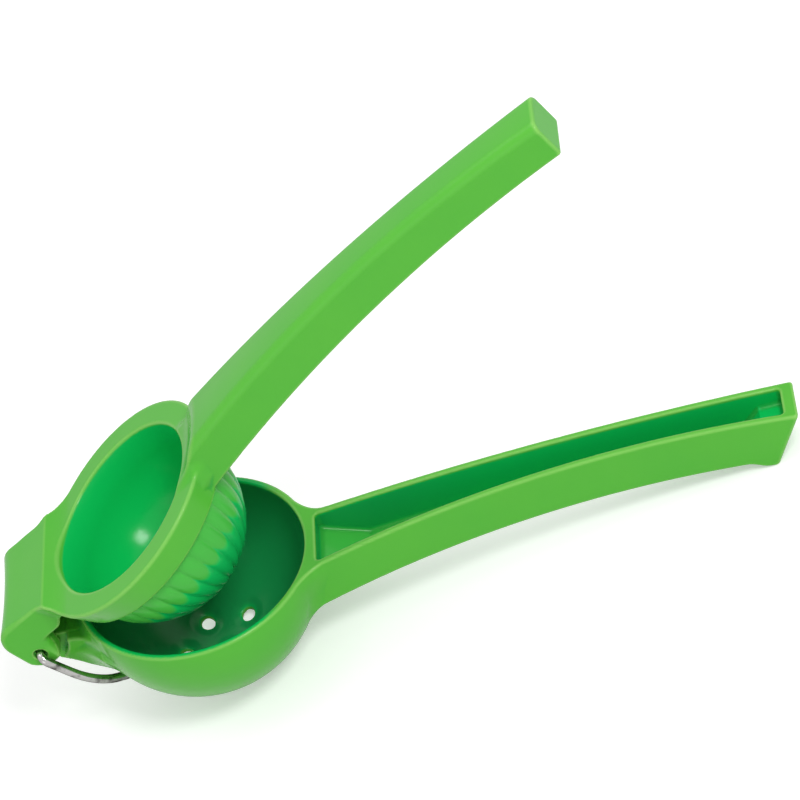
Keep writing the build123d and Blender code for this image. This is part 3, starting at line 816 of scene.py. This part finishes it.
def flute_tree():
    """Geometry nodes that bend a flat grid into a closed dome shell with ribs down its outside."""
    tree = bpy.data.node_groups.new("Fluted Dome", "GeometryNodeTree")
    socket(tree, "Geometry", "NodeSocketGeometry")
    socket(tree, "Flutes", "NodeSocketInt", 32)
    for name in ("Radius", "Core Radius", "Depth"):
        socket(tree, name, "NodeSocketFloat", 0.025)
    socket(tree, "Rim Angle", "NodeSocketFloat", 1.58)
    socket(tree, "Tilt", "NodeSocketFloat", 0.0)
    socket(tree, "Place", "NodeSocketVector")
    socket(tree, "Material", "NodeSocketMaterial")
    socket(tree, "Geometry", "NodeSocketGeometry", output=True)
    inputs = tree.nodes.new("NodeGroupInput").outputs
    round_points = maths(tree, "MULTIPLY_ADD", inputs["Flutes"], float(POINTS_PER_FLUTE), 1.0)
    grid = add(
        tree,
        "GeometryNodeMeshGrid",
        [("Size X", 1.0), ("Size Y", 2.0), ("Vertices X", round_points), ("Vertices Y", DOME_ROWS)],
    )
    at = add(tree, "ShaderNodeSeparateXYZ", [(0, add(tree, "GeometryNodeInputPosition").outputs[0])])
    along = at.outputs["Y"]
    turn = maths(tree, "MULTIPLY", maths(tree, "ADD", at.outputs["X"], 0.5), 2 * math.pi)
    from_tip = maths(tree, "SUBTRACT", 1.0, maths(tree, "ABSOLUTE", along))
    polar = maths(tree, "MULTIPLY", from_tip, inputs["Rim Angle"])
    outside = maths(tree, "MULTIPLY_ADD", along, 40.0, 0.5)
    outside = add(tree, "ShaderNodeClamp", [("Value", outside)]).outputs[0]
    rib = maths(tree, "MULTIPLY", maths(tree, "ADD", at.outputs["X"], 0.5), inputs["Flutes"])
    rib = maths(tree, "MULTIPLY_ADD", maths(tree, "FRACT", rib), 2.0, -1.0)
    groove = maths(tree, "POWER", maths(tree, "ABSOLUTE", rib), GROOVE_SHARPNESS)
    depth_share = scaled(tree, polar, FLUTE_FADE, (0.0, 1.0), interpolation_type="SMOOTHSTEP")
    sunk = maths(tree, "MULTIPLY", maths(tree, "MULTIPLY", groove, depth_share), inputs["Depth"])
    outer = maths(tree, "SUBTRACT", inputs["Radius"], sunk)
    shell = maths(tree, "SUBTRACT", outer, inputs["Core Radius"])
    reach = maths(tree, "MULTIPLY_ADD", outside, shell, inputs["Core Radius"])
    ring = maths(tree, "MULTIPLY", reach, maths(tree, "SINE", polar))
    drop = maths(tree, "MULTIPLY", reach, maths(tree, "COSINE", polar))
    point = add(
        tree,
        "ShaderNodeCombineXYZ",
        [
            ("X", maths(tree, "MULTIPLY", ring, maths(tree, "COSINE", turn))),
            ("Y", maths(tree, "MULTIPLY", ring, maths(tree, "SINE", turn))),
            ("Z", maths(tree, "MULTIPLY", drop, -1.0)),
        ],
    )
    tilted = add(
        tree,
        "ShaderNodeVectorRotate",
        [("Vector", point.outputs[0]), ("Angle", inputs["Tilt"])],
        rotation_type="Y_AXIS",
    )
    placed = add(
        tree, "ShaderNodeVectorMath", [(0, tilted.outputs[0]), (1, inputs["Place"])], operation="ADD"
    )
    # Painted shade on the dome: a deeper green over the ribs below a line that waves with the grooves, weaker
    # near the collar
    wavy = maths(tree, "MULTIPLY_ADD", groove, -FLUTE_SHADE_WAVE, polar)
    flute_shade = scaled(tree, wavy, (FLUTE_SHADE_END, FLUTE_SHADE_END - FLUTE_SHADE_EDGE), FLUTE_SHADE_TONES)
    with_painted_shade = add(
        tree,
        "GeometryNodeStoreNamedAttribute",
        [("Geometry", grid.outputs["Mesh"]), ("Name", "hollow"), ("Value", flute_shade)],
    )
    bent = add(
        tree, "GeometryNodeSetPosition", [("Geometry", with_painted_shade.outputs[0]), ("Position", placed.outputs[0])]
    )
    closed = add(
        tree,
        "GeometryNodeMergeByDistance",
        [("Geometry", bent.outputs[0]), ("Distance", MERGE_DISTANCE)],
    )
    faced = add(tree, "GeometryNodeFlipFaces", [("Mesh", closed.outputs[0])])
    smooth = add(tree, "GeometryNodeSetShadeSmooth", [("Geometry", faced.outputs[0])])
    real = add(tree, "GeometryNodeRealizeInstances", [("Geometry", smooth.outputs[0])])
    coated = add(
        tree, "GeometryNodeSetMaterial", [("Geometry", real.outputs[0]), ("Material", inputs["Material"])]
    )
    add(tree, "NodeGroupOutput", [("Geometry", coated.outputs[0])])
    return tree


def wire_tree():
    """Geometry nodes that sweep a round wire along a closed path."""
    tree = bpy.data.node_groups.new("Wire Loop", "GeometryNodeTree")
    socket(tree, "Geometry", "NodeSocketGeometry")
    socket(tree, "Wire Radius", "NodeSocketFloat", 0.0012)
    socket(tree, "Spacing", "NodeSocketFloat", 0.0004)
    socket(tree, "Material", "NodeSocketMaterial")
    socket(tree, "Geometry", "NodeSocketGeometry", output=True)
    inputs = tree.nodes.new("NodeGroupInput").outputs
    path = add(tree, "GeometryNodeMeshToCurve", [("Mesh", inputs["Geometry"])])
    even = add(
        tree,
        "GeometryNodeResampleCurve",
        [("Curve", path.outputs[0]), ("Length", inputs["Spacing"])],
        mode="LENGTH",
    )
    section = add(
        tree, "GeometryNodeCurvePrimitiveCircle", [("Resolution", 20), ("Radius", inputs["Wire Radius"])]
    )
    swept = add(
        tree, "GeometryNodeCurveToMesh", [("Curve", even.outputs[0]), ("Profile Curve", section.outputs[0])]
    )
    smooth = add(tree, "GeometryNodeSetShadeSmooth", [("Geometry", swept.outputs[0])])
    real = add(tree, "GeometryNodeRealizeInstances", [("Geometry", smooth.outputs[0])])
    coated = add(
        tree, "GeometryNodeSetMaterial", [("Geometry", real.outputs[0]), ("Material", inputs["Material"])]
    )
    add(tree, "NodeGroupOutput", [("Geometry", coated.outputs[0])])
    return tree


def ring_path():
    """Points round the ring's centre line in the bowl's frame."""
    tip_half = math.radians(RING_TIP_HALF)
    tip_x = RING_REACH - RING_TIP_RADIUS * (1 - math.cos(tip_half))
    tip_y = RING_TIP_RADIUS * math.sin(tip_half)
    run, rise = tip_x - RING_STRAIGHT, RING_SIDE - tip_y
    shoulder = (run**2 + rise**2) / (2 * rise)
    sweep = math.asin(run / shoulder)
    steps = np.linspace(0, 1, RING_STEPS)
    centre = RING_REACH - RING_TIP_RADIUS
    bend = [
        (RING_BEND * (1 - math.cos(a)), RING_SIDE - RING_BEND * (1 - math.sin(a)))
        for a in steps * math.pi / 2
    ]
    arm = [
        (RING_STRAIGHT + shoulder * math.sin(a), RING_SIDE - shoulder * (1 - math.cos(a)))
        for a in steps * sweep
    ]
    tip = [
        (centre + RING_TIP_RADIUS * math.cos(a), RING_TIP_RADIUS * math.sin(a))
        for a in (1 - steps) * tip_half
    ]
    half = np.array(bend + arm + tip[1:])
    flat = np.concatenate([half, half[-2::-1] * (1, -1)])
    lean = math.radians(RING_LEAN)
    return np.stack(
        [HINGE_X + flat[:, 0] * math.cos(lean), flat[:, 1], HINGE_Z - flat[:, 0] * math.sin(lean)], axis=1
    )


# ---------------------------------------------------------------------------------------------------------
# Operators


class SQUEEZER_OT_lower_casting(bpy.types.Operator):
    """Makes the strainer bowl, neck and lower handle as one enamelled casting"""

    bl_idname = "squeezer.lower_casting"
    bl_label = "Lower Casting"

    def execute(self, context):
        grid = (
            spread((-47.5, -46, 0.5), *HINGE_TO_COLLAR, (42, 142, 1.1), (142, 164, 0.5)),
            spread(*HALF_WIDTH),
            spread((-36.3, -7.5, 0.65), (-7.5, -1, 0.3), (-1, 13, 0.5)),
        )
        piece = cast_piece(
            "lower_casting_skin", lower_casting, lower_painted_shade, grid, STANDING_LEAN, enamel_material()
        )
        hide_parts("lower_casting")
        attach(piece, "lower")
        return {"FINISHED"}


class SQUEEZER_OT_upper_casting(bpy.types.Operator):
    """Makes the collar, cup, hinge tab and upper handle as one enamelled casting"""

    bl_idname = "squeezer.upper_casting"
    bl_label = "Upper Casting"

    def execute(self, context):
        grid = (
            spread((-49.5, -46, 0.5), *HINGE_TO_COLLAR, (42, 148, 1.1), (148, 163, 0.5)),
            spread(*HALF_WIDTH),
            spread((-30.3, -7.5, 0.65), (-7.5, -1, 0.3), (-1, 19, 0.5)),
        )
        turn = STANDING_LEAN - OPEN_ANGLE
        piece = cast_piece("upper_casting_skin", upper_casting, upper_painted_shade, grid, turn, enamel_material())
        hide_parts("upper_casting")
        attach(piece, "arm")
        return {"FINISHED"}


class SQUEEZER_OT_press_flutes(bpy.types.Operator):
    """Makes the ribbed outside of the press dome"""

    bl_idname = "squeezer.press_flutes"
    bl_label = "Press Flutes"

    def execute(self, context):
        flutes = context.scene.squeezer_flutes
        turn = STANDING_LEAN - OPEN_ANGLE
        centre = in_row(np.array([[0.0, 0.0, DOME_CENTRE]]), turn)[0]
        values = {
            "Flutes": flutes.count,
            "Radius": flutes.radius,
            "Core Radius": (DOME_CORE - SHELL_BEHIND_CORE) * MM,
            "Depth": flutes.depth,
            "Rim Angle": SHELL_END,
            "Tilt": math.radians(turn),
            "Place": tuple(centre),
            "Material": enamel_material(),
        }
        mesh = modifier_result("press_flutes", bpy.data.meshes.new("press_flutes_seed"), flute_tree(), values)
        piece = link("press_flutes", mesh)
        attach(piece, "arm")
        return {"FINISHED"}


class SQUEEZER_OT_hinge_ring(bpy.types.Operator):
    """Makes the polished wire ring"""

    bl_idname = "squeezer.hinge_ring"
    bl_label = "Hinge Ring"

    def execute(self, context):
        points = in_row(ring_path(), STANDING_LEAN)
        edges = [(i, (i + 1) % len(points)) for i in range(len(points))]
        path = bpy.data.meshes.new("ring_path")
        path.from_pydata(points, edges, [])
        values = {
            "Wire Radius": context.scene.squeezer_ring.wire,
            "Spacing": RING_SPACING,
            "Material": steel_material(),
        }
        piece = link("wire_ring", modifier_result("wire_ring", path, wire_tree(), values))
        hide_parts("hinge_ring")
        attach(piece, "ring")
        return {"FINISHED"}


def add_light(name, power, size, place, target):
    """Square soft light that faces a point."""
    lamp = bpy.data.lights.new(name, "AREA")
    lamp.energy, lamp.size = power, size
    light = link(name, lamp)
    light.location = place
    light.rotation_euler = (Vector(target) - Vector(place)).to_track_quat("-Z", "Y").to_euler()


def floor_material(looks):
    """Pale floor that looks white to the camera and in reflections, and keeps a soft shadow."""
    material, tree = material_of("Pale Floor")
    dust = grain(tree, 6.0, 90.0)
    tone = scaled(tree, dust.outputs["Mask"], (0.3, 0.7), (0.0, 0.05))
    colour = mix_colour(tree, tone, opaque(looks.floor), (0.75, 0.75, 0.75, 1.0))
    matt = add(tree, "ShaderNodeBsdfPrincipled", [("Base Color", colour), ("Roughness", 0.8)])
    rays = add(tree, "ShaderNodeLightPath")
    mirrored = maths(tree, "MAXIMUM", rays.outputs["Is Glossy Ray"], rays.outputs["Is Transmission Ray"])
    mirrored = maths(tree, "MULTIPLY", mirrored, MIRRORED_SHARE)
    seen = maths(tree, "MAXIMUM", rays.outputs["Is Camera Ray"], mirrored)
    glow = add(tree, "ShaderNodeEmission", [("Strength", maths(tree, "MULTIPLY", seen, FLOOR_GLOW))])
    both = add(tree, "ShaderNodeAddShader", [(0, matt.outputs[0]), (1, glow.outputs[0])])
    finish_material(tree, both)
    return material


class SQUEEZER_OT_stage(bpy.types.Operator):
    """Makes the floor, lights, world and camera"""

    bl_idname = "squeezer.stage"
    bl_label = "Stage"

    def execute(self, context):
        scene, looks = context.scene, context.scene.squeezer_stage
        floor = bpy.data.meshes.new("floor")
        corners = [(FLOOR_HALF * x, FLOOR_HALF * y, 0) for x, y in ((-1, -1), (1, -1), (1, 1), (-1, 1))]
        floor.from_pydata(corners, [], [(0, 1, 2, 3)])
        floor.materials.append(floor_material(looks))
        link("floor", floor)
        world = bpy.data.worlds.new("Soft Sky")
        world.use_nodes = True
        tree = world.node_tree
        tree.nodes.clear()
        rays = add(tree, "ShaderNodeLightPath")
        seen = maths(tree, "MAXIMUM", rays.outputs["Is Camera Ray"], rays.outputs["Is Glossy Ray"])
        seen = maths(tree, "MAXIMUM", seen, rays.outputs["Is Transmission Ray"])
        strength = scaled(tree, seen, (0.0, 1.0), (looks.sky, 1.0))
        sky = add(tree, "ShaderNodeBackground", [("Color", (1, 1, 1, 1)), ("Strength", strength)])
        add(tree, "ShaderNodeOutputWorld", [("Surface", sky.outputs[0])])
        scene.world = world
        scene.view_settings.view_transform = "Standard"
        for name, (size, place, target) in LIGHTS.items():
            add_light(name, getattr(looks, name), size, place, target)
        lens = bpy.data.cameras.new("camera")
        lens.lens, lens.sensor_width = CAMERA_LENS, 36.0
        lens.clip_start, lens.clip_end = 0.01, 20.0
        camera = link("camera", lens)
        camera.location = CAMERA_PLACE
        camera.rotation_euler = [math.radians(angle) for angle in CAMERA_TURN]
        scene.camera = camera
        return {"FINISHED"}


STEPS = (
    SQUEEZER_OT_stage,
    SQUEEZER_OT_lower_casting,
    SQUEEZER_OT_upper_casting,
    SQUEEZER_OT_press_flutes,
    SQUEEZER_OT_hinge_ring,
)
GROUPS = {
    "squeezer_enamel": SqueezerEnamel,
    "squeezer_flutes": SqueezerFlutes,
    "squeezer_ring": SqueezerRing,
    "squeezer_stage": SqueezerStage,
}


class SQUEEZER_PT_panel(bpy.types.Panel):
    """Lists the pieces and their settings"""

    bl_idname = "SQUEEZER_PT_panel"
    bl_label = "Lemon Squeezer"
    bl_space_type = "VIEW_3D"
    bl_region_type = "UI"
    bl_category = "Squeezer"

    def draw(self, context):
        for step in STEPS:
            self.layout.operator(step.bl_idname)
        for name, group in GROUPS.items():
            box = self.layout.box()
            for key in group.__annotations__:
                box.prop(getattr(context.scene, name), key)


def register():
    for kind in (*GROUPS.values(), *STEPS, SQUEEZER_PT_panel):
        bpy.utils.register_class(kind)
    for name, group in GROUPS.items():
        setattr(bpy.types.Scene, name, PointerProperty(type=group))


def unregister():
    for name in GROUPS:
        delattr(bpy.types.Scene, name)
    for kind in (SQUEEZER_PT_panel, *STEPS, *GROUPS.values()):
        bpy.utils.unregister_class(kind)


def main():
    register()
    for step in STEPS:
        group, name = step.bl_idname.split(".")
        getattr(getattr(bpy.ops, group), name)()


if __name__ == "__main__":
    main()
